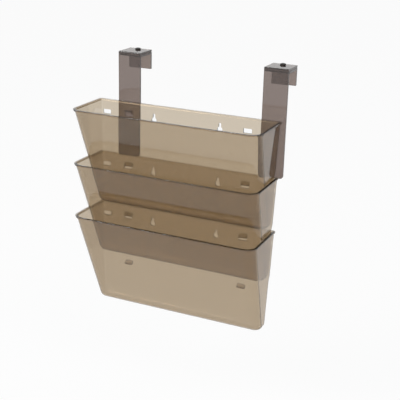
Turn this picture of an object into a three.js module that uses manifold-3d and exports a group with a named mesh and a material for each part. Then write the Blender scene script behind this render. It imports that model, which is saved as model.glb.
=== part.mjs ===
// A three-tier hanging document pocket on two over-the-partition hangers.
//
// Millimetres, +Z up. The origin is the front top edge of the partition, midway along the
// pockets. X runs along the pockets, -Y points into the room, +Y crosses the partition.
// Each pocket hooks onto the back of the one above, with that pocket's lower half standing
// inside its mouth, and the top pocket hooks onto the legs of the two hangers.

import * as THREE from "three";
import { mergeVertices } from "three/addons/utils/BufferGeometryUtils.js";
import Module from "manifold-3d";

const wasm = await Module();
wasm.setup();

// Pocket, over its lip
const pocketWidth = 330.2;
const pocketDepth = 101.6;
const pocketHeight = 177.8;
const pocketWall = 2.5;

// Pocket shape: the front and sides draw in towards the base
const baseDepth = 28;
const mouthCornerRadius = 18;
const baseCornerRadius = 13.5;
const backCornerRadius = 4;
const leastCornerRadius = 0.8;
const baseFillet = 10;
const lipReach = 2;
const lipHeight = 3.2;
const lipRound = 0.7;

// Nesting of one pocket in the next
const tierCount = 3;
const tierGap = 6.2;
const nestSideGap = 1.4;
const nestBackGap = 0.6;
const backStepHeight = 8;
const filletLeadShare = 0.9;

// Moulded hooks, and the slots that they enter
const hookWidth = 14;
const hookArm = 3;
const hookRise = 3.4;
const hookTip = 2.2;
const hookChamfer = 0.8;
const hookPlay = 0.5;
const slotSidePlay = 0.5;
const slotHeightPlay = 0.6;
const slotDrop = 18;
const outerSlotInset = 14.6;
const slotSpacing = 42;

// Keyholes for hanging a pocket on wall screws
const keyholeX = 60;
const keyholeDrop = 26;
const keyholeHeadRadius = 4.8;
const keyholeShankRadius = 2.2;
const keyholeRun = 9;

// Hangers
const hangerWidth = 41;
const legHeight = 177.8;
const legWall = 3.2;
const legCornerRadius = 5;
const rimDrop = 76.2;
const hookWall = 3.8;
const throat = 34.5;
const flangeHeight = 25.4;
const flangeCornerRadius = 0.8;
const plateCornerRadius = 0.8;
const bendRadius = 1.6;
const rootRadius = 1.2;
const hookSetback = 1.6;
const slideTravel = 20;
const plateGap = 0.3;

// Clamp screw and its square nut
const screwSetback = 27;
const shankRadius = 1.95;
const shankPlay = 0.35;
const shankChamfer = 0.4;
const shankStop = 0.3;
const headRadius = 4.75;
const headHeight = 2.8;
const headSide = 1.5;
const headEdge = 0.4;
const recessLength = 5;
const recessWidth = 1.2;
const recessDepth = 1.4;
const nutWidth = 7;
const nutThickness = 1.7;
const nutCornerRadius = 4.6;
const nutTravel = 0.7;
const channelPlay = 0.35;

// Fits and cuts
const contactGap = 0.3;
const cutOverrun = 4;

// Facets
const mouthCornerFacets = 9;
const backCornerFacets = 3;
const filletFacets = 4;
const bendFacets = 4;
const roundFacets = 32;
const domeFacets = 5;

// Sizes that follow
const tierPitch = (pocketHeight + tierGap) / 2;
const nestShare = tierPitch / pocketHeight;
const mouthHalfWidth = pocketWidth / 2 - lipReach;
const mouthDepth = pocketDepth - lipReach;
const sideDraft = (pocketWall + nestSideGap) / nestShare;
const frontDraft = mouthDepth - baseDepth;
const backStepDepth = pocketWall + nestBackGap;
const liftTravel = hookRise + hookPlay;
const backStepTop = pocketHeight - tierPitch + liftTravel - filletLeadShare * baseFillet;
const slotWidth = hookWidth + 2 * slotSidePlay;
const slotHeight = contactGap + hookArm + liftTravel + slotHeightPlay;
const outerSlotX = pocketWidth / 2 - outerSlotInset;
const innerSlotX = outerSlotX - slotSpacing;
const pocketBackY = -(legWall + contactGap);
const plateUnder = hookWall + plateGap;
const plateTop = plateUnder + legWall;
const legBottom = plateTop - legHeight;
const hookBack = throat + hookWall;
const nutSeat = nutTravel + nutThickness;
const channelDepth = nutSeat + contactGap;

// Turns a closed geometry into a solid.
function solid(geometry) {
  const bare = new THREE.BufferGeometry();
  bare.setAttribute("position", geometry.getAttribute("position"));
  bare.setIndex(geometry.index);
  const merged = mergeVertices(bare);
  const mesh = new wasm.Mesh({
    numProp: 3,
    vertProperties: new Float32Array(merged.getAttribute("position").array),
    triVerts: new Uint32Array(merged.index.array),
  });
  return new wasm.Manifold(mesh);
}

// Turns a solid back into a geometry with flat facets.
function geometryOf(body) {
  const mesh = body.getMesh();
  const indexed = new THREE.BufferGeometry();
  indexed.setAttribute("position", new THREE.BufferAttribute(mesh.vertProperties, mesh.numProp));
  indexed.setIndex(new THREE.BufferAttribute(mesh.triVerts, 1));
  const faceted = indexed.toNonIndexed();
  faceted.computeVertexNormals();
  return faceted;
}

// One level of a pocket: a rectangle with two front and two back corner rounds.
function ring({ halfWidth, front, back, frontRadius, backRadius, z }) {
  const corners = [
    [halfWidth, back, backRadius, 0, backCornerFacets],
    [-halfWidth, back, backRadius, 1, backCornerFacets],
    [-halfWidth, front, frontRadius, 2, mouthCornerFacets],
    [halfWidth, front, frontRadius, 3, mouthCornerFacets],
  ];
  const points = [];
  for (const [x, y, radius, quarter, facets] of corners) {
    const centreX = x - Math.sign(x) * radius;
    const centreY = quarter < 2 ? y - radius : y + radius;
    for (let i = 0; i <= facets; i += 1) {
      const angle = (quarter + i / facets) * Math.PI / 2;
      const px = centreX + radius * Math.cos(angle);
      const py = centreY + radius * Math.sin(angle);
      points.push(new THREE.Vector3(px, py, z));
    }
  }
  return points;
}

// Skins a stack of levels, highest first, and closes both ends.
function loft(rings) {
  const count = rings[0].length;
  const positions = rings.flat().flatMap((point) => point.toArray());
  const index = [];
  for (let level = 0; level + 1 < rings.length; level += 1) {
    for (let i = 0; i < count; i += 1) {
      const next = (i + 1) % count;
      const a = level * count + i;
      const b = level * count + next;
      const c = a + count;
      const d = b + count;
      index.push(a, c, b, b, c, d);
    }
  }
  const outline = rings[0].map((point) => new THREE.Vector2(point.x, point.y));
  const base = rings[rings.length - 1].map((point) => new THREE.Vector2(point.x, point.y));
  const first = count * (rings.length - 1);
  for (const [a, b, c] of THREE.ShapeUtils.triangulateShape(outline, [])) {
    index.push(a, b, c);
  }
  for (const [a, b, c] of THREE.ShapeUtils.triangulateShape(base, [])) {
    index.push(first + a, first + c, first + b);
  }
  const geometry = new THREE.BufferGeometry();
  geometry.setAttribute("position", new THREE.Float32BufferAttribute(positions, 3));
  geometry.setIndex(index);
  return geometry;
}

// Extrudes an outline drawn in Y and Z along X, centred on x = 0.
function alongX(shape, width) {
  const geometry = new THREE.ExtrudeGeometry(shape, {
    depth: width,
    bevelEnabled: false,
    curveSegments: bendFacets,
  });
  const turn = new THREE.Matrix4().makeBasis(
    new THREE.Vector3(0, 1, 0),
    new THREE.Vector3(0, 0, 1),
    new THREE.Vector3(1, 0, 0),
  );
  return solid(geometry.applyMatrix4(turn).translate(-width / 2, 0, 0));
}

// Extrudes an outline drawn in X and Z towards -Y, from the given y.
function towardsRoom(shape, fromY, length, facets) {
  const geometry = new THREE.ExtrudeGeometry(shape, {
    depth: length,
    bevelEnabled: false,
    curveSegments: facets,
  });
  return solid(geometry.rotateX(Math.PI / 2).translate(0, fromY, 0));
}

// Extrudes an outline drawn in X and Y upwards, from the given z.
function upwards(shape, fromZ, height, facets) {
  const geometry = new THREE.ExtrudeGeometry(shape, {
    depth: height,
    bevelEnabled: false,
    curveSegments: facets,
  });
  return solid(geometry.translate(0, 0, fromZ));
}

// A round bar along Z between two heights.
function roundBar(radius, low, high, y) {
  const geometry = new THREE.CylinderGeometry(radius, radius, high - low, roundFacets);
  return solid(geometry.rotateX(Math.PI / 2).translate(0, y, (low + high) / 2));
}

// A block between two corners.
function block(low, high) {
  const size = high.clone().sub(low);
  const centre = high.clone().add(low).multiplyScalar(1 / 2);
  const geometry = new THREE.BoxGeometry(size.x, size.y, size.z);
  return solid(geometry.translate(centre.x, centre.y, centre.z));
}

// How far the back wall has stepped forward at a depth below the rim.
function backStep(depth) {
  const share = THREE.MathUtils.clamp((depth - backStepTop) / backStepHeight, 0, 1);
  return share * backStepDepth;
}

// The pocket's level at a depth below the rim, drawn in by an inset.
function wallRing(depth, inset) {
  const share = depth / pocketHeight;
  const cornerRadius = THREE.MathUtils.lerp(mouthCornerRadius, baseCornerRadius, share);
  return ring({
    halfWidth: mouthHalfWidth - sideDraft * share - inset,
    front: -(mouthDepth - frontDraft * share - inset),
    back: -(backStep(depth) + inset),
    frontRadius: Math.max(cornerRadius - inset, leastCornerRadius),
    backRadius: Math.max(backCornerRadius - inset, leastCornerRadius),
    z: -depth,
  });
}

// The lip's level at a depth below the rim. It stands out at the front and the two ends.
function lipRing(depth, inset) {
  return ring({
    halfWidth: pocketWidth / 2 - inset,
    front: -(pocketDepth - inset),
    back: 0,
    frontRadius: mouthCornerRadius + lipReach - inset,
    backRadius: backCornerRadius,
    z: -depth,
  });
}

// The levels of a rounded base of the given fillet, whose lowest point is at a depth.
function baseRings(bottom, fillet, inset) {
  const rings = [];
  for (let i = 0; i <= filletFacets; i += 1) {
    const angle = i / filletFacets * Math.PI / 2;
    const depth = bottom - fillet * (1 - Math.sin(angle));
    rings.push(wallRing(depth, inset + fillet * (1 - Math.cos(angle))));
  }
  return rings;
}

// A hook's outline in Y and Z: an arm from its root, and a tip that turns up.
function hookOutline(rootY, tipY, armTop) {
  const way = Math.sign(tipY - rootY);
  const far = tipY + way * hookTip;
  const shape = new THREE.Shape();
  shape.moveTo(rootY, armTop);
  shape.lineTo(tipY, armTop);
  shape.lineTo(tipY, armTop + hookRise);
  shape.lineTo(far - way * hookChamfer, armTop + hookRise);
  shape.lineTo(far, armTop + hookRise - hookChamfer);
  shape.lineTo(far, armTop - hookArm + hookChamfer);
  shape.lineTo(far - way * hookChamfer, armTop - hookArm);
  shape.lineTo(rootY, armTop - hookArm);
  shape.closePath();
  return shape;
}

// A keyhole's outline in X and Z, about the centre of its wide end.
function keyholeOutline() {
  const half = Math.asin(keyholeShankRadius / keyholeHeadRadius);
  const up = Math.PI / 2;
  const shape = new THREE.Shape();
  shape.absarc(0, 0, keyholeHeadRadius, up + half, up - half + 2 * Math.PI, false);
  shape.absarc(0, keyholeRun, keyholeShankRadius, 0, Math.PI, false);
  shape.closePath();
  return shape;
}

// One moulded pocket, with its rim at z = 0 and its back on y = 0.
function pocket() {
  const outer = loft([
    lipRing(0, lipRound),
    lipRing(lipRound, 0),
    lipRing(lipHeight - lipRound, 0),
    lipRing(lipHeight, lipRound),
    wallRing(lipHeight, 0),
    wallRing(backStepTop, 0),
    wallRing(backStepTop + backStepHeight, 0),
    ...baseRings(pocketHeight, baseFillet, 0),
  ]);
  const inner = loft([
    wallRing(0, pocketWall - lipRound).map((point) => point.setZ(cutOverrun)),
    wallRing(0, pocketWall - lipRound),
    wallRing(lipRound, pocketWall),
    wallRing(backStepTop, pocketWall),
    wallRing(backStepTop + backStepHeight, pocketWall),
    ...baseRings(pocketHeight - pocketWall, baseFillet - pocketWall, pocketWall),
  ]);
  let body = solid(outer).subtract(solid(inner));
  const slotLow = new THREE.Vector3(-slotWidth / 2, -cutOverrun, -slotDrop - slotHeight);
  const slotHigh = new THREE.Vector3(slotWidth / 2, cutOverrun, -slotDrop);
  const slot = block(slotLow, slotHigh);
  for (const x of [-outerSlotX, -innerSlotX, innerSlotX, outerSlotX]) {
    body = body.subtract(slot.translate([x, 0, 0]));
  }
  const keyhole = towardsRoom(keyholeOutline(), cutOverrun, 2 * cutOverrun, roundFacets);
  for (const x of [-keyholeX, keyholeX]) {
    body = body.subtract(keyhole.translate([x, 0, -keyholeDrop]));
  }
  const hookRoot = -(backStepDepth + pocketWall / 2);
  const armTop = -(tierPitch + slotDrop + contactGap);
  const hook = alongX(hookOutline(hookRoot, contactGap, armTop), hookWidth);
  for (const x of [-innerSlotX, innerSlotX]) {
    body = body.add(hook.translate([x, 0, 0]));
  }
  return geometryOf(body);
}

// A rectangle with its two lower corners rounded, drawn about x = 0.
function lowRoundedOutline(width, low, high, radius) {
  const half = width / 2;
  const shape = new THREE.Shape();
  shape.moveTo(half, high);
  shape.lineTo(-half, high);
  shape.absarc(-half + radius, low + radius, radius, Math.PI, 1.5 * Math.PI, false);
  shape.absarc(half - radius, low + radius, radius, 1.5 * Math.PI, 2 * Math.PI, false);
  shape.closePath();
  return shape;
}

// The leg and the top plate, one bent piece, with the hook that carries the top pocket.
function legBracket() {
  const bend = new THREE.Shape();
  bend.moveTo(-legWall, legBottom);
  bend.lineTo(0, legBottom);
  bend.absarc(rootRadius, plateUnder - rootRadius, rootRadius, Math.PI, Math.PI / 2, true);
  bend.lineTo(hookBack, plateUnder);
  bend.lineTo(hookBack, plateTop);
  bend.absarc(bendRadius - legWall, plateTop - bendRadius, bendRadius, Math.PI / 2, Math.PI, false);
  bend.closePath();
  const face = lowRoundedOutline(hangerWidth, legBottom, plateTop + cutOverrun, legCornerRadius);
  const plan = lowRoundedOutline(hangerWidth, -hookBack, legWall + cutOverrun, plateCornerRadius);
  const planHeight = legHeight + 2 * cutOverrun;
  let body = alongX(bend, hangerWidth);
  body = body.intersect(
    towardsRoom(face, hookBack + cutOverrun, hookBack + legWall + 2 * cutOverrun, bendFacets),
  );
  body = body.intersect(
    upwards(plan, legBottom - cutOverrun, planHeight, bendFacets).mirror([0, 1, 0]),
  );
  const armTop = -rimDrop - slotDrop - contactGap;
  const tipY = pocketBackY - pocketWall - contactGap;
  body = body.add(alongX(hookOutline(-legWall / 2, tipY, armTop), hookWidth));
  const holeRadius = shankRadius + shankPlay;
  const hole = roundBar(holeRadius, plateUnder - cutOverrun, plateTop + cutOverrun, screwSetback);
  return geometryOf(body.subtract(hole));
}

// The lower plate and the flange behind the partition, slotted for the screw and its nut.
function rearHook() {
  const bend = new THREE.Shape();
  bend.moveTo(hookBack, -flangeHeight);
  bend.absarc(hookBack - bendRadius, hookWall - bendRadius, bendRadius, 0, Math.PI / 2, false);
  bend.lineTo(hookSetback, hookWall);
  bend.lineTo(hookSetback, 0);
  bend.absarc(throat - rootRadius, -rootRadius, rootRadius, Math.PI / 2, 0, true);
  bend.lineTo(throat, -flangeHeight);
  bend.closePath();
  const faceTop = hookWall + cutOverrun;
  const face = lowRoundedOutline(hangerWidth, -flangeHeight, faceTop, flangeCornerRadius);
  let body = alongX(bend, hangerWidth);
  body = body.intersect(towardsRoom(face, hookBack + cutOverrun, hookBack + 2 * cutOverrun, bendFacets));
  const slotHalf = shankRadius + shankPlay;
  const slot = new THREE.Shape();
  slot.absarc(0, screwSetback, slotHalf, 0, Math.PI, false);
  slot.absarc(0, screwSetback - slideTravel, slotHalf, Math.PI, 2 * Math.PI, false);
  slot.closePath();
  const channelHalf = nutWidth / 2 + channelPlay;
  const channel = block(
    new THREE.Vector3(-channelHalf, screwSetback - slideTravel - channelHalf, -cutOverrun),
    new THREE.Vector3(channelHalf, screwSetback + channelHalf, channelDepth),
  );
  body = body.subtract(upwards(slot, -cutOverrun, hookWall + 2 * cutOverrun, roundFacets / 4));
  return geometryOf(body.subtract(channel));
}

// The screw: a low domed head with a cross recess, and a plain shank.
function clampScrew() {
  const headUnder = plateTop + contactGap;
  const headTop = headUnder + headHeight;
  const outline = new THREE.Path();
  outline.moveTo(0, shankStop);
  outline.lineTo(shankRadius - shankChamfer, shankStop);
  outline.lineTo(shankRadius, shankStop + shankChamfer);
  outline.lineTo(shankRadius, headUnder);
  outline.lineTo(headRadius - headEdge, headUnder);
  outline.lineTo(headRadius, headUnder + headEdge);
  outline.lineTo(headRadius, headUnder + headSide);
  outline.bezierCurveTo(
    headRadius, (headTop + headUnder + headSide) / 2,
    headRadius / 2, headTop,
    0, headTop,
  );
  const turned = new THREE.LatheGeometry(outline.getPoints(domeFacets), roundFacets);
  let body = solid(turned.rotateX(Math.PI / 2).translate(0, screwSetback, 0));
  const half = new THREE.Vector3(recessLength / 2, recessWidth / 2, 0);
  for (const reach of [half, new THREE.Vector3(half.y, half.x, 0)]) {
    const low = new THREE.Vector3(-reach.x, screwSetback - reach.y, headTop - recessDepth);
    const high = new THREE.Vector3(reach.x, screwSetback + reach.y, headTop + cutOverrun);
    body = body.subtract(block(low, high));
  }
  return geometryOf(body);
}

// The square nut, its corners turned off, with its bore.
function clampNut() {
  const half = nutWidth / 2;
  const low = new THREE.Vector3(-half, screwSetback - half, nutTravel);
  const high = new THREE.Vector3(half, screwSetback + half, nutSeat);
  const turned = roundBar(nutCornerRadius, -cutOverrun, nutSeat + cutOverrun, screwSetback);
  const bore = roundBar(shankRadius + shankPlay, -cutOverrun, nutSeat + cutOverrun, screwSetback);
  return geometryOf(block(low, high).intersect(turned).subtract(bore));
}

// Finishes
const pocketSmoke = new THREE.MeshStandardMaterial({
  color: 0x8b7d6e,
  roughness: 0.08,
  metalness: 0,
  transparent: true,
  opacity: 0.6,
});
const hangerSmoke = new THREE.MeshStandardMaterial({
  color: 0x6e6259,
  roughness: 0.1,
  metalness: 0,
  transparent: true,
  opacity: 0.8,
});
const screwBlack = new THREE.MeshStandardMaterial({ color: 0x1c1a18, roughness: 0.35, metalness: 0.6 });
const nutSteel = new THREE.MeshStandardMaterial({ color: 0xa8a9ab, roughness: 0.3, metalness: 1 });

function named(name, geometry, material) {
  const mesh = new THREE.Mesh(geometry, material);
  mesh.name = name;
  return mesh;
}

const part = new THREE.Group();

const tierNames = ["top_pocket", "middle_pocket", "bottom_pocket"];
for (let tier = 0; tier < tierCount; tier += 1) {
  const mesh = named(tierNames[tier], pocket(), pocketSmoke);
  mesh.position.set(0, pocketBackY, -rimDrop - tier * tierPitch);
  part.add(mesh);
}

const hangers = [
  ["left", -innerSlotX],
  ["right", outerSlotX],
];
for (const [side, x] of hangers) {
  const hanger = new THREE.Group();
  hanger.position.x = x;
  hanger.add(named(`${side}_leg_bracket`, legBracket(), hangerSmoke));
  hanger.add(named(`${side}_rear_hook`, rearHook(), hangerSmoke));
  hanger.add(named(`${side}_clamp_screw`, clampScrew(), screwBlack));
  hanger.add(named(`${side}_clamp_nut`, clampNut(), nutSteel));
  part.add(hanger);
}

export default part;
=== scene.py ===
# %% [markdown]
# # Three smoke plastic document pockets on two partition hangers
#
# The real object is a set of one-piece injection mouldings. Each pocket hooks onto the back of
# the one above and swallows its lower half, and the top one hooks onto two clamp hangers.
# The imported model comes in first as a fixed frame: it gives every body, and every place is
# measured from it, so nothing here is fitted by eye. Its facets are flat, which clear plastic
# shows at once, so each moulding is built again below with round edges and smooth shading.

# %% Load the frame
import math

import bmesh
import bpy
from mathutils import Matrix, Vector
from mathutils.geometry import interpolate_bezier


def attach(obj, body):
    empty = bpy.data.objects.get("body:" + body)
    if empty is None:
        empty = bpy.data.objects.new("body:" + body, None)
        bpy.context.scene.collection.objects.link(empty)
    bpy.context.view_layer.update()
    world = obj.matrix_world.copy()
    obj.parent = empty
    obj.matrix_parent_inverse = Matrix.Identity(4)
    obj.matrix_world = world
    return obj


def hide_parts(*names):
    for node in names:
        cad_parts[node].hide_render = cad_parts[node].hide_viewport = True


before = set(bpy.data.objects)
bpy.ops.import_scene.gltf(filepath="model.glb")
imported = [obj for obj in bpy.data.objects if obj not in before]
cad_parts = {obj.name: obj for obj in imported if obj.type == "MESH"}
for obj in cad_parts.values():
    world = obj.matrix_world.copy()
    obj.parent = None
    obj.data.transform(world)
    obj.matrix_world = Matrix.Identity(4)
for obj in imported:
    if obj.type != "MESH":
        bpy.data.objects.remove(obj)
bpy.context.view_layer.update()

# %% [markdown]
# ## The camera
#
# The camera was fitted to the pockets' rims, corners and hangers in the photograph. It looks
# down from the right on a long lens. A camera is easiest to read as a chain of turns about the
# point that it looks at, so its matrix is built as that chain: swing, tip, roll, step back.

# %% Camera
mm = 0.001
picture_px = 400
focal_px = 886.98
sensor_width = 36.0
aim = Vector((49.45, -53.5, -210.55)) * mm
swing = math.radians(24.02)
tip = math.radians(19.44)
roll = math.radians(1.56)
distance = 1439.91 * mm

lens = bpy.data.cameras.new("camera")
lens.sensor_width = sensor_width
lens.lens = sensor_width * focal_px / picture_px
camera = bpy.data.objects.new("camera", lens)
bpy.context.scene.collection.objects.link(camera)
camera.matrix_world = (
    Matrix.Translation(aim)
    @ Matrix.Rotation(swing, 4, "Z")
    @ Matrix.Rotation(math.pi / 2 - tip, 4, "X")
    @ Matrix.Rotation(roll, 4, "Z")
    @ Matrix.Translation((0, 0, distance))
)
bpy.context.scene.camera = camera
print("lens:", round(lens.lens, 2), "mm")

# %% [markdown]
# ## Sizes of a pocket
#
# These are the sizes of the solid pocket, in metres. The front and the ends draw in towards
# the base, as every moulding does that has to leave its mould and nest in its neighbour. The
# back is flat, and halfway down it steps forward by a little more than one wall, so the lower
# half fits in the mouth of the next pocket.

# %% Sizes of a pocket
pocket_height = 177.8 * mm
lip_reach = 2 * mm
mouth_half_width = 330.2 * mm / 2 - lip_reach
mouth_depth = 101.6 * mm - lip_reach
wall = 2.5 * mm
base_depth = 28 * mm
side_draft = 7.5371 * mm
front_draft = mouth_depth - base_depth
mouth_radius = 18 * mm
base_radius = 13.5 * mm
back_radius = 4 * mm
least_radius = 0.8 * mm
base_fillet = 10 * mm
lip_height = 3.2 * mm
lip_round = 0.7 * mm
step_top = 80.7 * mm
step_height = 8 * mm
step_depth = 3.1 * mm


def step_at(depth):
    """How far the back has stepped forward at a depth below the rim."""
    share = min(max((depth - step_top) / step_height, 0), 1)
    return share * step_depth


mouth = [round(size / mm, 1) for size in (2 * mouth_half_width, mouth_depth)]
print("mouth:", mouth, "mm; the back's step:", round(step_at(pocket_height) / mm, 1), "mm")

# %% [markdown]
# ## Levels of the shell
#
# A tub with drafted walls is a loft: flat outlines stacked from the base up to the lip, over
# the rim and down the inside. Each level is a depth below the rim, a reach outwards at the
# front and ends, and an inset all round. Quarter rounds are levels too. A plain box with a
# solidify would give even walls but could not give the lip, which stands out on three sides.

# %% Levels of the shell
base_steps = 7
floor_steps = 6
lip_steps = 3
lip_root_drop = 0.15 * mm
lip_root_reach = 0.55 * lip_round


def quarter(radius, steps):
    """Points of a quarter round, as (drop, inset) pairs, from its side to its end."""
    turns = [math.pi / 2 * i / steps for i in range(steps + 1)]
    return [(radius * (1 - math.sin(a)), radius * (1 - math.cos(a))) for a in turns]


levels = []
for drop, inset in reversed(quarter(base_fillet, base_steps)):
    levels.append((pocket_height - drop, 0, inset))
levels.append((step_top + step_height, 0, 0))
levels.append((step_top, 0, 0))
levels.append((lip_height + lip_round, 0, 0))
levels.append((lip_height + lip_root_drop, lip_root_reach, 0))
for drop, inset in reversed(quarter(lip_round, lip_steps)):
    levels.append((lip_height - drop, lip_reach, inset))
for drop, inset in quarter(lip_round, lip_steps):
    levels.append((drop, lip_reach, inset))
for drop, inset in reversed(quarter(lip_round, lip_steps)):
    levels.append((drop, 0, wall - inset))
levels.append((step_top, 0, wall))
levels.append((step_top + step_height, 0, wall))
for drop, inset in quarter(base_fillet - wall, floor_steps):
    levels.append((pocket_height - wall - drop, 0, wall + inset))
print("levels in the shell:", len(levels))

# %% [markdown]
# ## One level's outline
#
# An outline is a single grid face whose four corners are rounded by a vertex bevel. Then the
# face goes and its edges stay. Every outline gets the same number of steps in its corners, so
# bridge_loops joins one to the next in clean quads.

# %% One level's outline
front_steps = 12
back_steps = 4


def outline_at(shell, depth, reach, inset):
    """Adds the level's outline to the shell and returns its edges."""
    share = depth / pocket_height
    half = mouth_half_width - side_draft * share + reach - inset
    front = -(mouth_depth - front_draft * share + reach - inset)
    back = -(step_at(depth) + inset)
    corner = mouth_radius + (base_radius - mouth_radius) * share + reach - inset
    known = set(shell.edges)
    corners = bmesh.ops.create_grid(shell, x_segments=1, y_segments=1, size=1)["verts"]
    front_pair = [v for v in corners if v.co.y < 0]
    back_pair = [v for v in corners if v.co.y > 0]
    for pair, y in ((front_pair, front), (back_pair, back)):
        for vert in pair:
            vert.co = (math.copysign(half, vert.co.x), y, -depth)
    rounds = (
        (front_pair, max(corner, least_radius), front_steps),
        (back_pair, max(back_radius - inset, least_radius), back_steps),
    )
    for pair, radius, steps in rounds:
        bmesh.ops.bevel(
            shell, geom=pair, offset=radius, offset_type="OFFSET", segments=steps,
            profile=0.5, affect="VERTICES", material=-1,
        )
    bmesh.ops.delete(shell, geom=shell.faces[:], context="FACES_ONLY")
    return [e for e in shell.edges if e not in known]


trial = bmesh.new()
print("edges in an outline:", len(outline_at(trial, *levels[0])))
trial.free()

# %% [markdown]
# ## The pocket's shell
#
# The outlines are bridged one after the other, and the first and last are capped. The first is
# the underside of the base and the last is the floor inside, so what closes is one skin that
# goes down the inside as well, as a wall of real thickness must for light to bend in it.

# %% The pocket's shell
def pocket_shell():
    shell = bmesh.new()
    loops = [outline_at(shell, *level) for level in levels]
    for lower, upper in zip(loops, loops[1:]):
        bmesh.ops.bridge_loops(shell, edges=lower + upper)
    bmesh.ops.contextual_create(shell, geom=loops[0])
    bmesh.ops.contextual_create(shell, geom=loops[-1])
    bmesh.ops.recalc_face_normals(shell, faces=shell.faces[:])
    return shell


def tell(name, shape):
    """Prints how many faces a bmesh has, and how many edges without a face on each side."""
    open_edges = sum(not edge.is_manifold for edge in shape.edges)
    print(f"{name}: {len(shape.faces)} faces, {open_edges} open edges")


shell = pocket_shell()
tell("shell", shell)

# %% [markdown]
# ## A piece, and a cut or a join
#
# A bmesh becomes an object here. Slots and screw holes are cut, and moulded hooks are joined,
# with the Boolean modifier's exact solver, whose result is applied at once. Overlapping shells
# would be quicker, but clear plastic would show the walls inside each other.

# %% A piece, and a cut or a join
def piece_of(name, shape):
    """Turns a bmesh into an object at the origin."""
    mesh = bpy.data.meshes.new(name)
    shape.to_mesh(mesh)
    shape.free()
    piece = bpy.data.objects.new(name, mesh)
    bpy.context.scene.collection.objects.link(piece)
    return piece


def combine(piece, shape, operation):
    """Cuts a bmesh out of the piece, joins it on, or keeps what both hold."""
    tool = piece_of("tool", shape)
    boolean = piece.modifiers.new("combine", "BOOLEAN")
    boolean.operation = operation
    boolean.solver = "EXACT"
    boolean.object = tool
    graph = bpy.context.evaluated_depsgraph_get()
    made = bpy.data.meshes.new_from_object(piece.evaluated_get(graph))
    piece.modifiers.clear()
    old = piece.data
    piece.data = made
    made.name = piece.name
    bpy.data.meshes.remove(old)
    bpy.data.meshes.remove(tool.data)


# %% [markdown]
# ## Smooth shading
#
# Real mouldings look smooth across their roundings and flat on their walls. Smooth shading with
# weighted normals gives both, as the large faces set the direction and the small ones follow.
# Edges that turn sharply stay crisp.

# %% Smooth shading
crisp_angle = math.radians(35)


def shade(piece):
    """Shades a piece smooth but for its sharp edges, with flats kept flat, and measures it."""
    piece.data.shade_smooth()
    piece.data.set_sharp_from_angle(angle=crisp_angle)
    even = piece.modifiers.new("even normals", "WEIGHTED_NORMAL")
    even.keep_sharp = True
    check = bmesh.new()
    check.from_mesh(piece.data)
    tell(piece.name, check)
    check.free()


# %% [markdown]
# ## Rounded edges
#
# Hardly an edge of a real moulding is sharp, and it is the rounded ones that catch the light.
# The bevel operator rounds them. Edges are chosen by where they lie and which way they run,
# which still works after other edges have been rounded, when their numbers have changed.

# %% Rounded edges
tiny = 1e-6
near = 1e-5
edge_break = 0.35 * mm


def bevel_edges(shape, edges, radius, steps):
    """Rounds edges with an even arc."""
    bmesh.ops.bevel(
        shape, geom=edges, offset=radius, offset_type="OFFSET", segments=steps,
        profile=0.5, affect="EDGES", material=-1, clamp_overlap=True,
    )


def round_off(shape, chosen, radius, steps):
    """Rounds the edges whose midpoint and direction are chosen."""
    edges = []
    for edge in shape.edges:
        a, b = (v.co for v in edge.verts)
        if chosen((a + b) / 2, b - a):
            edges.append(edge)
    bevel_edges(shape, edges, radius, steps)


def lies_at(y, z):
    """Chooses the edges along X at that y and z."""
    spot = Vector((0, y, z))
    return lambda middle, way: abs(way.x) > tiny and (middle - spot).yz.length < near


def break_edges(shape):
    """Takes the sharpness off every edge that turns sharply."""
    sharp = [e for e in shape.edges if e.is_manifold and e.calc_face_angle() > crisp_angle]
    bevel_edges(shape, sharp, edge_break, steps=2)


# %% [markdown]
# ## Blocks and bent strips
#
# Two shapes come back often: a block with rounded edges, and a strip bent to an L. The strip
# starts as a grid of four faces. Three of them are the L: they are moved to the profile's lines
# and extruded, and the edges between them are dissolved. Its bends are rounded afterwards, each
# as much as on the real piece.

# %% A block
def block(shape, low, high, radius, along, steps=4):
    """Adds a block between two corners, its edges along one axis rounded."""
    low, high = Vector(low), Vector(high)
    made = bmesh.ops.create_cube(shape, size=1)["verts"]
    bmesh.ops.scale(shape, vec=high - low, verts=made)
    bmesh.ops.translate(shape, vec=(high + low) / 2, verts=made)
    mine = set(made)
    bars = [
        e for e in shape.edges
        if mine.issuperset(e.verts) and abs((e.verts[0].co - e.verts[1].co)[along]) > tiny
    ]
    bevel_edges(shape, bars, radius, steps)


# %% A bent strip
flat_angle = math.radians(1)


def bent_strip(width, y_lines, z_lines, gone):
    """An L of the given width: a 2 by 2 grid of faces in Y and Z less the quarter that is gone."""
    shape = bmesh.new()
    bmesh.ops.create_grid(shape, x_segments=2, y_segments=2, size=1)
    # The four centres lie at half a unit each way, and only the gone quarter's gives 1 here.
    notch = [f for f in shape.faces if f.calc_center_median().xy.dot(Vector(gone)) > 0.9]
    bmesh.ops.delete(shape, geom=notch, context="FACES")
    for vert in shape.verts:
        vert.co = (-width / 2, y_lines[round(vert.co.x) + 1], z_lines[round(vert.co.y) + 1])
    pulled = bmesh.ops.extrude_face_region(shape, geom=shape.faces[:])["geom"]
    moved = [v for v in pulled if isinstance(v, bmesh.types.BMVert)]
    bmesh.ops.translate(shape, vec=(width, 0, 0), verts=moved)
    bmesh.ops.dissolve_limit(
        shape, angle_limit=flat_angle, verts=shape.verts[:], edges=shape.edges[:]
    )
    bmesh.ops.recalc_face_normals(shape, faces=shape.faces[:])
    return shape


def try_out(name, shape):
    """Prints a trial shape's measures and throws it away."""
    tell(name, shape)
    shape.free()


try_out("trial strip", bent_strip(1, (0, 1, 2), (0, 1, 2), (1, 1)))

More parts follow.
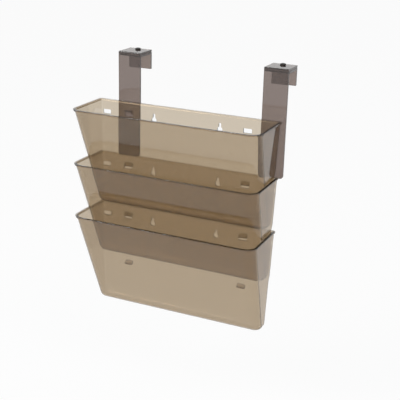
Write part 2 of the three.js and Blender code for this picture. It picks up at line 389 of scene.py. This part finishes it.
# %% [markdown]
# ## A hook
#
# Two hooks stand on the back of each pocket's lower half, and one in front of each leg. A hook
# is a small bent strip, its tip turned up. Its rounded faces aren't quite flat, and the Boolean
# solver can lose such a face, so they are cut into triangles, which are always flat.

# %% A hook
hook_width = 14 * mm
hook_arm = 3 * mm
hook_rise = 3.4 * mm
hook_tip = 2.2 * mm
hook_round = 0.8 * mm
hook_edge = 0.3 * mm
fit_gap = 0.3 * mm


def across(middle, way):
    """Chooses every edge that doesn't run along X."""
    return abs(way.x) < tiny


def hook(root_y, tip_y, arm_top):
    """A hook from a wall at root_y to its tip, beyond tip_y."""
    way = math.copysign(1, tip_y - root_y)
    far = tip_y + way * hook_tip
    y_lines = sorted((root_y, tip_y, far))
    z_lines = (arm_top - hook_arm, arm_top, arm_top + hook_rise)
    shape = bent_strip(hook_width, y_lines, z_lines, (-way, 1))
    corners = ((far, z_lines[0]), (far, z_lines[2]), (tip_y, z_lines[2]))
    for y, z in corners[:2]:
        round_off(shape, lies_at(y, z), hook_round, steps=3)
    round_off(shape, lies_at(*corners[2]), hook_round / 2, steps=2)
    round_off(shape, across, hook_edge, steps=2)
    bmesh.ops.triangulate(shape, faces=shape.faces[:])
    return shape


try_out("trial hook", hook(0, hook_arm, 0))

# %% [markdown]
# ## Slots and keyholes
#
# Two pairs of slots near the rim take the hooks of whatever carries the pocket, and two
# keyholes let it hang on screws in a wall instead. A keyhole is a round for the screw's head
# with a narrow run above it. Parts of one cutter mustn't overlap, so the runs are cut on their
# own, after the rounds. A bevel of the full half width would leave edges of no length, so a
# full round end stops just short of it.

# %% Sizes of the slots and keyholes
tier_pitch = 92 * mm
slot_drop = 18 * mm
slot_width = 15 * mm
slot_height = 7.8 * mm
slot_round = 1 * mm
inner_slot = 108.5 * mm
outer_slot = 150.5 * mm
keyhole_x = 60 * mm
keyhole_drop = 26 * mm
keyhole_head = 4.8 * mm
keyhole_shank = 2.2 * mm
keyhole_run = 9 * mm
cut = 4 * mm
hole_segments = 48
full_round = 0.98
end_steps = 10
print("slots at", [round(x / mm, 1) for x in (inner_slot, outer_slot)], "mm on either side")


# %% The cutters of the slots and keyholes
def slots_and_heads():
    """The four slots and the wide ends of the two keyholes."""
    shape = bmesh.new()
    for x in (-outer_slot, -inner_slot, inner_slot, outer_slot):
        low = (x - slot_width / 2, -cut, -slot_drop - slot_height)
        high = (x + slot_width / 2, cut, -slot_drop)
        block(shape, low, high, slot_round, along=1)
    for x in (-keyhole_x, keyhole_x):
        place = Matrix.Translation((x, 0, -keyhole_drop)) @ Matrix.Rotation(math.pi / 2, 4, "X")
        bmesh.ops.create_cone(
            shape, cap_ends=True, segments=hole_segments, radius1=keyhole_head,
            radius2=keyhole_head, depth=2 * cut, matrix=place,
        )
    bmesh.ops.recalc_face_normals(shape, faces=shape.faces[:])
    return shape


def keyhole_runs():
    """The narrow upper ends of the two keyholes."""
    shape = bmesh.new()
    for x in (-keyhole_x, keyhole_x):
        low = (x - keyhole_shank, -cut, -keyhole_drop - keyhole_shank)
        high = (x + keyhole_shank, cut, -keyhole_drop + keyhole_run + keyhole_shank)
        block(shape, low, high, full_round * keyhole_shank, along=1, steps=end_steps)
    bmesh.ops.recalc_face_normals(shape, faces=shape.faces[:])
    return shape


try_out("slots and heads", slots_and_heads())
try_out("keyhole runs", keyhole_runs())

# %% [markdown]
# ## The three pockets
#
# One pocket is finished and copied, because the three are the same moulding. Each copy is put
# in place in its mesh, so its object stays at the origin, and stands for one of the solids.

# %% One pocket
pocket_back = -3.5 * mm
rim_drop = 76.2 * mm
pocket = piece_of("pocket", shell)
combine(pocket, slots_and_heads(), "DIFFERENCE")
combine(pocket, keyhole_runs(), "DIFFERENCE")
hook_root = -(step_depth + wall / 2)
for x in (-inner_slot, inner_slot):
    moulded = hook(hook_root, fit_gap, -(tier_pitch + slot_drop + fit_gap))
    bmesh.ops.translate(moulded, vec=(x, 0, 0), verts=moulded.verts[:])
    combine(pocket, moulded, "UNION")
print("pocket faces:", len(pocket.data.polygons))

# %% Its three copies
pockets = []
for tier, node in enumerate(("top_pocket", "middle_pocket", "bottom_pocket")):
    mesh = pocket.data.copy()
    mesh.transform(Matrix.Translation((0, pocket_back, -rim_drop - tier * tier_pitch)))
    piece = bpy.data.objects.new(f"{node}_moulding", mesh)
    bpy.context.scene.collection.objects.link(piece)
    shade(piece)
    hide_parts(node)
    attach(piece, node)
    pockets.append(piece)
bpy.data.meshes.remove(pocket.data)

# %% [markdown]
# ## The leg bracket
#
# A hanger is two bent strips. The leg and the top plate are one of them, with a hook in front
# for the top pocket and a hole for the clamp screw. Its bends and corners are rounded first,
# while their edges are still easy to choose, and then every sharp edge that is left is broken.

# %% Sizes of the leg bracket
hanger_width = 41 * mm
leg_wall = 3.2 * mm
plate_under = 4.1 * mm
plate_top = 7.3 * mm
leg_bottom = -170.5 * mm
hook_back = 38.3 * mm
screw_y = 27 * mm
shank_hole = 2.3 * mm
bend_inside = 1.2 * mm
bend_outside = 1.6 * mm
leg_corner = 5 * mm
strip_corner = 0.8 * mm
print("leg:", round((plate_top - leg_bottom) / mm, 1), "mm from the plate's top to its end")


# %% The leg bracket
def on_end(z):
    """Chooses the two edges through the strip at its end at that z."""
    return lambda middle, way: abs(way.y) > tiny > max(abs(way.x), abs(middle.z - z))


def on_back(y):
    """Chooses the two upright edges at that y."""
    return lambda middle, way: abs(way.z) > tiny > max(abs(way.x), abs(middle.y - y))


def leg_bracket(name):
    shape = bent_strip(
        hanger_width, (-leg_wall, 0, hook_back), (leg_bottom, plate_under, plate_top), (1, -1)
    )
    round_off(shape, lies_at(0, plate_under), bend_inside, steps=5)
    round_off(shape, lies_at(-leg_wall, plate_top), bend_outside, steps=6)
    round_off(shape, on_end(leg_bottom), leg_corner, steps=8)
    round_off(shape, on_back(hook_back), strip_corner, steps=4)
    break_edges(shape)
    piece = piece_of(name, shape)
    arm_top = -rim_drop - slot_drop - fit_gap
    combine(piece, hook(-leg_wall / 2, pocket_back - wall - fit_gap, arm_top), "UNION")
    hole = bmesh.new()
    bmesh.ops.create_cone(
        hole, cap_ends=True, segments=hole_segments, radius1=shank_hole, radius2=shank_hole,
        depth=4 * cut, matrix=Matrix.Translation((0, screw_y, plate_top)),
    )
    combine(piece, hole, "DIFFERENCE")
    return piece


# %% [markdown]
# ## The rear hook
#
# The other strip slides under the top plate, and its flange grips the partition's far side. A
# slot lets the screw pass at every setting, and a channel on the underside keeps the square
# nut from turning. Both are cut out as blocks with rounded corners, one after the other.

# %% The rear hook
rear_wall = 3.8 * mm
rear_front = 1.6 * mm
throat = 34.5 * mm
flange_low = -25.4 * mm
slide_travel = 20 * mm
channel_half = 3.85 * mm
channel_depth = 2.7 * mm
channel_round = 0.5 * mm


def rear_hook(name):
    shape = bent_strip(
        hanger_width, (rear_front, throat, hook_back), (flange_low, 0, rear_wall), (-1, -1)
    )
    round_off(shape, lies_at(throat, 0), bend_inside, steps=5)
    round_off(shape, lies_at(hook_back, rear_wall), bend_outside, steps=6)
    round_off(shape, on_end(flange_low), strip_corner, steps=4)
    break_edges(shape)
    piece = piece_of(name, shape)
    slot = bmesh.new()
    low = (-shank_hole, screw_y - slide_travel - shank_hole, -cut)
    high = (shank_hole, screw_y + shank_hole, 2 * cut)
    block(slot, low, high, full_round * shank_hole, along=2, steps=end_steps)
    combine(piece, slot, "DIFFERENCE")
    channel = bmesh.new()
    low = (-channel_half, screw_y - slide_travel - channel_half, -cut)
    high = (channel_half, screw_y + channel_half, channel_depth)
    block(channel, low, high, channel_round, along=2)
    combine(piece, channel, "DIFFERENCE")
    return piece


# %% [markdown]
# ## The screw's head
#
# The head is a low dome, so it is spun about its axis from one outline: the under side, a small
# rounding, the edge, and a Bezier curve over the top. A flattened sphere would be quicker, but
# it has no flat under side and no upright edge.

# %% Spinning an outline
spin_steps = 56
close_merge = 1e-7


def spun(shape, points):
    """Spins an outline of (radius, height) points about Z."""
    verts = [shape.verts.new((radius, 0, z)) for radius, z in points]
    edges = [shape.edges.new(pair) for pair in zip(verts, verts[1:])]
    bmesh.ops.spin(
        shape, geom=verts + edges, cent=(0, 0, 0), axis=(0, 0, 1), angle=math.tau,
        steps=spin_steps, use_merge=True,
    )
    bmesh.ops.remove_doubles(shape, verts=shape.verts[:], dist=close_merge)
    bmesh.ops.recalc_face_normals(shape, faces=shape.faces[:])


# %% The screw's head
head_under = 7.6 * mm
head_radius = 4.75 * mm
head_side = 1.5 * mm
head_top = 10.37 * mm
head_edge = 0.35 * mm
dome_points = 12


def screw_head():
    side_top = head_under + head_side
    dome = interpolate_bezier(
        Vector((head_radius, 0, side_top)),
        Vector((head_radius, 0, (side_top + head_top) / 2)),
        Vector((head_radius / 2, 0, head_top)),
        Vector((0, 0, head_top)),
        dome_points,
    )
    bevel = 0.3 * head_edge
    points = [(0, head_under), (head_radius - head_edge, head_under)]
    points += [(head_radius - bevel, head_under + bevel), (head_radius, head_under + head_edge)]
    points += [(p.x, p.z) for p in dome]
    shape = bmesh.new()
    spun(shape, points)
    return shape


try_out("trial head", screw_head())

# %% [markdown]
# ## The screw's thread
#
# The thread is spun too. One tooth's profile turns and climbs by a pitch each turn, past both
# ends of the shank. Then the turns are merged, and each end is cut off flat and closed. The
# upper end stands a little way inside the head, so no gap shows between them.

# %% The screw's thread
thread_radius = 1.95 * mm
thread_root = 1.55 * mm
thread_pitch = 0.7 * mm
thread_end = 0.3 * mm
thread_sink = 0.5 * mm
tooth = ((thread_root, 0), (thread_radius, 0.4), (thread_radius, 0.55), (thread_root, 1))
turn_steps = 24
spare_turns = 2


def thread():
    shape = bmesh.new()
    start = thread_end - spare_turns * thread_pitch
    verts = [shape.verts.new((r, 0, start + share * thread_pitch)) for r, share in tooth]
    edges = [shape.edges.new(pair) for pair in zip(verts, verts[1:])]
    turns = math.ceil((head_under - start) / thread_pitch) + spare_turns
    bmesh.ops.spin(
        shape, geom=verts + edges, cent=(0, 0, 0), axis=(0, 0, 1), angle=math.tau * turns,
        steps=turn_steps * turns, dvec=(0, 0, thread_pitch / turn_steps),
    )
    bmesh.ops.remove_doubles(shape, verts=shape.verts[:], dist=tiny)
    for height, side in ((thread_end, -1), (head_under + thread_sink, 1)):
        everything = shape.verts[:] + shape.edges[:] + shape.faces[:]
        cap = bmesh.ops.bisect_plane(
            shape, geom=everything, plane_co=(0, 0, height), plane_no=(0, 0, side),
            clear_outer=True,
        )["geom_cut"]
        rim = [e for e in cap if isinstance(e, bmesh.types.BMEdge)]
        bmesh.ops.holes_fill(shape, edges=rim, sides=0)
    bmesh.ops.recalc_face_normals(shape, faces=shape.faces[:])
    return shape


try_out("trial thread", thread())

# %% [markdown]
# ## The whole screw
#
# A cross for the driver is cut in the head, its two bars narrower at the foot, as a punch
# leaves them. Then head and thread go into one mesh. They only stand in each other, which is
# fine here, because black metal doesn't show what is inside it. The cuts leave some corners
# all but on top of each other, and those are merged at the end.

# %% The cross in the head
bar_size = Vector((5, 1.2, 2.8)) * mm
foot_share = (0.45, 0.6, 1)


def cross_bar(turn):
    """One bar of the cross, narrower at its foot."""
    shape = bmesh.new()
    bar = bmesh.ops.create_cube(shape, size=1)["verts"]
    bmesh.ops.scale(shape, vec=bar_size, verts=bar)
    foot = [v for v in bar if v.co.z < 0]
    bmesh.ops.scale(shape, vec=foot_share, verts=foot)
    bmesh.ops.translate(shape, vec=(0, 0, head_top), verts=bar)
    bmesh.ops.rotate(shape, cent=(0, 0, 0), matrix=Matrix.Rotation(turn, 3, "Z"), verts=bar)
    return shape


try_out("trial bar", cross_bar(0))


# %% The whole screw
def clamp_screw(name):
    piece = piece_of(name, screw_head())
    for turn in (0, math.pi / 2):
        combine(piece, cross_bar(turn), "DIFFERENCE")
    both = bmesh.new()
    both.from_mesh(piece.data)
    helix = piece_of("helix", thread())
    both.from_mesh(helix.data)
    bpy.data.meshes.remove(helix.data)
    bmesh.ops.remove_doubles(both, verts=both.verts[:], dist=close_merge)
    both.to_mesh(piece.data)
    both.free()
    piece.data.transform(Matrix.Translation((0, screw_y, 0)))
    return piece


# %% [markdown]
# ## The clamp nut
#
# A square nut is a slice of square bar. Its corners are turned off on both faces and its hole
# is countersunk, so the slice is kept only where it meets a spun double cone, and a second
# spun shape cuts the hole.

# %% Sizes of the nut
nut_half = 3.5 * mm
nut_low = 0.7 * mm
nut_high = 2.4 * mm
nut_corner = 4.6 * mm
nut_edge = 0.25 * mm
nut_bore = 2.3 * mm
turned_off = 0.45 * mm
sunk = 0.3 * mm
print("nut:", round((nut_high - nut_low) / mm, 1), "mm thick")


# %% The clamp nut
def clamp_nut(name):
    shape = bmesh.new()
    low = (-nut_half, -nut_half, nut_low)
    block(shape, low, (nut_half, nut_half, nut_high), nut_edge, along=2, steps=2)
    piece = piece_of(name, shape)
    cones = bmesh.new()
    inner = nut_corner - 2 * turned_off
    spun(cones, [
        (0, nut_low - turned_off), (inner, nut_low - turned_off / 2),
        (nut_corner, nut_low + turned_off), (nut_corner, nut_high - turned_off),
        (inner, nut_high + turned_off / 2), (0, nut_high + turned_off),
    ])
    combine(piece, cones, "INTERSECT")
    hole = bmesh.new()
    wide = nut_bore + 2 * sunk
    spun(hole, [
        (0, nut_low - sunk), (wide, nut_low - sunk), (nut_bore, nut_low + sunk),
        (nut_bore, nut_high - sunk), (wide, nut_high + sunk), (0, nut_high + sunk),
    ])
    combine(piece, hole, "DIFFERENCE")
    piece.data.transform(Matrix.Translation((0, screw_y, 0)))
    return piece


# %% [markdown]
# ## Put the hangers in place
#
# The left hanger hooks into the pocket's inner slots and the right one into its outer slots,
# as in the photograph. Each piece stands for its solid and rides on that solid's body.

# %% Put the hangers in place
hanger_pieces = {}
for side, x in (("left", -inner_slot), ("right", outer_slot)):
    made = {
        "leg_bracket": ("leg_brackets", "hanger_smoke", leg_bracket),
        "rear_hook": (f"{side}_rear_hook", "hanger_smoke", rear_hook),
        "clamp_screw": (f"{side}_clamp_screw", "screw_black", clamp_screw),
        "clamp_nut": (f"{side}_clamp_nut", "nut_steel", clamp_nut),
    }
    for part, (body, slot_name, make) in made.items():
        piece = make(f"{side}_{part}_piece")
        piece.data.transform(Matrix.Translation((x, 0, 0)))
        shade(piece)
        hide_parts(f"{side}_{part}")
        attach(piece, body)
        hanger_pieces[side, part] = piece

# %% [markdown]
# ## Small node helpers
#
# The finishes below use the same two steps again and again: a noise over the piece, and a
# number stretched to another range. Noise is read at Object coordinates, and every piece has
# its object at the origin, so the pattern stays on the piece wherever it or the camera goes.

# %% Small node helpers
def new_material(name):
    """A material and its tree of nodes."""
    material = bpy.data.materials.new(name)
    material.use_nodes = True
    return material, material.node_tree


def noise(tree, place, scale, detail):
    """A noise over the place, from 0 to 1."""
    node = tree.nodes.new("ShaderNodeTexNoise")
    node.inputs["Scale"].default_value = scale
    node.inputs["Detail"].default_value = detail
    tree.links.new(place, node.inputs["Vector"])
    return node.outputs["Fac"]


def stretch(tree, value, old, new):
    """Stretches a number from an old range to a new one, and holds it there."""
    node = tree.nodes.new("ShaderNodeMapRange")
    for name, number in zip(("From Min", "From Max", "To Min", "To Max"), old + new):
        node.inputs[name].default_value = number
    tree.links.new(value, node.inputs["Value"])
    return node.outputs[0]


# %% [markdown]
# ## Smoke plastic, its body
#
# The real plastic is tinted through, so its colour deepens with the distance that light goes
# in it: a wall seen edge-on is nearly black and a wall seen square-on is pale. That is a clear
# shader with absorption in its volume. The skin can be tinted too and a little milky, with a
# share of the light scattered there, by a transmission weight under 1.

# %% Smoke plastic, its body
plastic_ior = 1.53


def tinted_body(tree, tint, clearness, dimming):
    """The clear shader. dimming is how much of each colour a metre absorbs, as a logarithm."""
    tree.nodes.clear()
    out = tree.nodes.new("ShaderNodeOutputMaterial")
    clear = tree.nodes.new("ShaderNodeBsdfPrincipled")
    clear.inputs["Base Color"].default_value = tint + (1,)
    clear.inputs["Transmission Weight"].default_value = clearness
    clear.inputs["IOR"].default_value = plastic_ior
    tree.links.new(clear.outputs[0], out.inputs["Surface"])
    # The node absorbs its density times what its colour lacks of 1.
    dense = max(dimming)
    inside = tree.nodes.new("ShaderNodeVolumeAbsorption")
    inside.inputs["Color"].default_value = tuple(1 - d / dense for d in dimming) + (1,)
    inside.inputs["Density"].default_value = dense
    tree.links.new(inside.outputs[0], out.inputs["Volume"])
    return clear


# %% [markdown]
# ## Smoke plastic, its surface
#
# A moulded surface is never a perfect mirror. It has a slow wave from its cooling, fine rubbing
# from handling, and faint smears in the gloss. The wave and the rubbing are two bumps in a row,
# and the smears change the roughness. A shift by the seed keeps two finishes from matching.

# %% Smoke plastic, its surface
smear_scale, wave_scale, rubbing_scale = 22, 9, 900
smear_range, gloss_range = (0.35, 0.7), (0.03, 0.075)
seed_way = (1, 0.7, 0.3)


def bumped(tree, height, strength, distance):
    """A bump node over a height."""
    node = tree.nodes.new("ShaderNodeBump")
    node.inputs["Strength"].default_value = strength
    node.inputs["Distance"].default_value = distance
    tree.links.new(height, node.inputs["Height"])
    return node


def worn_surface(tree, clear, seed):
    place = tree.nodes.new("ShaderNodeTexCoord")
    shift = tree.nodes.new("ShaderNodeMapping")
    shift.inputs["Location"].default_value = tuple(seed * share for share in seed_way)
    tree.links.new(place.outputs["Object"], shift.inputs["Vector"])
    smears = noise(tree, shift.outputs[0], smear_scale, detail=4)
    tree.links.new(stretch(tree, smears, smear_range, gloss_range), clear.inputs["Roughness"])
    wave = noise(tree, shift.outputs[0], wave_scale, detail=1)
    rubbing = noise(tree, shift.outputs[0], rubbing_scale, detail=3)
    slow = bumped(tree, wave, strength=0.35, distance=0.6 * mm)
    fine = bumped(tree, rubbing, strength=0.04, distance=0.1 * mm)
    tree.links.new(slow.outputs[0], fine.inputs["Normal"])
    tree.links.new(fine.outputs[0], clear.inputs["Normal"])


# %% [markdown]
# ## Smoke plastic, three times
#
# How much of each colour is absorbed was worked out from single and double walls in the
# photograph. The hangers are darker than their thickness explains, and a little milky, so part
# of their tint lies in the skin. The rear hook is thicker and stands in the shade of the top
# plate, so its skin is painted paler to make up for that shade, and comes out as dark as the leg.

# %% Smoke plastic, three times
pocket_dimming = (168, 217, 296)
hanger_dimming = (60, 80, 95)
hanger_clearness = 0.88


def smoke_plastic(name, tint, clearness, dimming, seed):
    """Plastic tinted at its skin and through."""
    material, tree = new_material(name)
    clear = tinted_body(tree, tint, clearness, dimming)
    worn_surface(tree, clear, seed)
    print(name, "nodes:", len(tree.nodes))
    return material


pocket_smoke = smoke_plastic("pocket_smoke", (1, 1, 1), 1, pocket_dimming, seed=0)
leg_smoke = smoke_plastic(
    "leg_smoke", (0.301, 0.253, 0.237), hanger_clearness, hanger_dimming, seed=3
)
# The rear hook's tint is painted paler than the leg's, to cancel the top plate's shade on it.
rear_smoke_painted_paler = smoke_plastic(
    "rear_smoke_painted_paler", (0.407, 0.36, 0.343), hanger_clearness, hanger_dimming, seed=5
)

# %% [markdown]
# ## Black screw and zinc nut
#
# The screw is steel with a thin black finish that has worn a little on its high edges, where
# fingers and the driver rub: Geometry's Pointiness finds those edges. The nut is zinc plated,
# a bright metal with a cloudy, slightly warm skin.

# %% A metal finish
cloud_scale = 700
high_edges = (0.53, 0.62)
worn_range = (0.4, 1.4)
smoother, rougher = 0.08, 0.1


def metal(name, dark, light, roughness, metallic, worn):
    """A metal finish whose high edges and clouds turn from one colour towards another."""
    material, tree = new_material(name)
    skin = tree.nodes["Principled BSDF"]
    skin.inputs["Metallic"].default_value = metallic
    place = tree.nodes.new("ShaderNodeTexCoord")
    clouds = noise(tree, place.outputs["Object"], cloud_scale, detail=5)
    shape = tree.nodes.new("ShaderNodeNewGeometry")
    edges = stretch(tree, shape.outputs["Pointiness"], high_edges, (0, 1))
    mixed = tree.nodes.new("ShaderNodeMath")
    mixed.operation = "MULTIPLY_ADD"
    mixed.inputs[1].default_value = worn
    tree.links.new(edges, mixed.inputs[0])
    tree.links.new(clouds, mixed.inputs[2])
    tint = tree.nodes.new("ShaderNodeMix")
    tint.data_type = "RGBA"
    tint.inputs["A"].default_value = dark + (1,)
    tint.inputs["B"].default_value = light + (1,)
    amount = stretch(tree, mixed.outputs[0], worn_range, (0, 1))
    tree.links.new(amount, tint.inputs["Factor"])
    tree.links.new(tint.outputs["Result"], skin.inputs["Base Color"])
    rough = stretch(tree, clouds, (0, 1), (roughness - smoother, roughness + rougher))
    tree.links.new(rough, skin.inputs["Roughness"])
    print(name, "nodes:", len(tree.nodes))
    return material


# %% Black screw and zinc nut
screw_black = metal(
    "screw_black", dark=(0.012, 0.01, 0.009), light=(0.16, 0.15, 0.14),
    roughness=0.38, metallic=0.4, worn=0.7,
)
nut_steel = metal(
    "nut_steel", dark=(0.42, 0.42, 0.43), light=(0.62, 0.61, 0.58),
    roughness=0.3, metallic=1, worn=0.4,
)

# %% [markdown]
# ## Put the finishes on
#
# A piece that came through a Boolean may carry an empty material slot from it, so the slots are
# cleared first, and then each piece gets the one finish of its kind.

# %% Put the finishes on
finishes = {
    "leg_bracket": leg_smoke, "rear_hook": rear_smoke_painted_paler,
    "clamp_screw": screw_black, "clamp_nut": nut_steel,
}
finished = [(piece, pocket_smoke) for piece in pockets]
finished += [(piece, finishes[part]) for (side, part), piece in hanger_pieces.items()]
for piece, finish in finished:
    piece.data.materials.clear()
    piece.data.materials.append(finish)
print("finished pieces:", len(finished))

# %% [markdown]
# ## White for sight
#
# The photograph's background is plain white, but a surround that bright would also light the
# object too strongly. A Light Path node tells the kinds of ray apart: camera, mirror and
# see-through rays find plain white, while the rays that light the object find a plain level,
# at which colours come out as they are written.

# %% White for sight
def white_for_sight(tree, lit, white, socket):
    """Mixes lit with white by the kind of ray, and joins it to the socket."""
    path = tree.nodes.new("ShaderNodeLightPath")
    seen = path.outputs["Is Camera Ray"]
    for kind in ("Is Glossy Ray", "Is Transmission Ray"):
        either = tree.nodes.new("ShaderNodeMath")
        either.operation = "MAXIMUM"
        tree.links.new(seen, either.inputs[0])
        tree.links.new(path.outputs[kind], either.inputs[1])
        seen = either.outputs[0]
    mix = tree.nodes.new("ShaderNodeMixShader")
    tree.links.new(seen, mix.inputs["Fac"])
    tree.links.new(lit, mix.inputs[1])
    tree.links.new(white, mix.inputs[2])
    tree.links.new(mix.outputs[0], socket)


# %% [markdown]
# ## The studio's surround
#
# The surround is a World with two Backgrounds: a soft, faintly cool one that fills the shadows
# from all sides, and the plain white one for sight.

# %% The studio's surround
fill_colour = (0.95, 0.97, 1, 1)
fill_strength = 0.55
world = bpy.data.worlds.new("studio")
bpy.context.scene.world = world
world.use_nodes = True
tree = world.node_tree
tree.nodes.clear()
fill = tree.nodes.new("ShaderNodeBackground")
fill.inputs["Color"].default_value = fill_colour
fill.inputs["Strength"].default_value = fill_strength
white = tree.nodes.new("ShaderNodeBackground")
white.inputs["Color"].default_value = (1, 1, 1, 1)
end = tree.nodes.new("ShaderNodeOutputWorld")
white_for_sight(tree, fill.outputs[0], white.outputs[0], end.inputs["Surface"])
print("surround nodes:", len(tree.nodes))

# %% [markdown]
# ## The floor
#
# A pale floor lies well below, because the object hangs. For sight it is a mix of plain white
# and its lit shade, so that the object's faint shadow stays on it.

# %% The floor
floor_drop = 620 * mm
floor_half = 9
floor_back = 3
ground = bmesh.new()
bmesh.ops.create_grid(ground, x_segments=1, y_segments=1, size=floor_half)
bmesh.ops.translate(ground, vec=(0, floor_back, -floor_drop), verts=ground.verts[:])
floor = piece_of("floor", ground)
print("floor:", 2 * floor_half, "m wide,", floor_drop, "m below the partition's top")

# %% The floor's paper
paper_colour = (0.86, 0.86, 0.85, 1)
white_share = 0.92
paper, tree = new_material("floor_paper")
tree.nodes.clear()
end = tree.nodes.new("ShaderNodeOutputMaterial")
lit = tree.nodes.new("ShaderNodeBsdfDiffuse")
lit.inputs["Color"].default_value = paper_colour
glow = tree.nodes.new("ShaderNodeEmission")
share = tree.nodes.new("ShaderNodeMixShader")
share.inputs["Fac"].default_value = white_share
tree.links.new(lit.outputs[0], share.inputs[1])
tree.links.new(glow.outputs[0], share.inputs[2])
white_for_sight(tree, lit.outputs[0], share.outputs[0], end.inputs["Surface"])
floor.data.materials.append(paper)
print("floor nodes:", len(tree.nodes))

# %% [markdown]
# ## The lamps
#
# Two large soft lamps stand in front: the key on the left and a weaker fill high on the right.
# A low fill would mirror in the top plates when they are seen from behind.

# %% The lamps
lamp_size = 1.2


def soft_lamp(name, place, size, power):
    """A square soft lamp at a place, facing the object."""
    lamp = bpy.data.lights.new(name, "AREA")
    lamp.size = size
    lamp.energy = power
    holder = bpy.data.objects.new(name, lamp)
    holder.location = place
    holder.rotation_euler = (aim - Vector(place)).to_track_quat("-Z", "Y").to_euler()
    bpy.context.scene.collection.objects.link(holder)
    print(name, "lamp:", power, "W,", round((aim - Vector(place)).length, 2), "m away")


soft_lamp("key", (-1.4, -1.6, 1.5), lamp_size, power=30)
soft_lamp("fill", (1.6, -1.2, 1.8), lamp_size, power=18)
bpy.context.scene.view_settings.view_transform = "Standard"
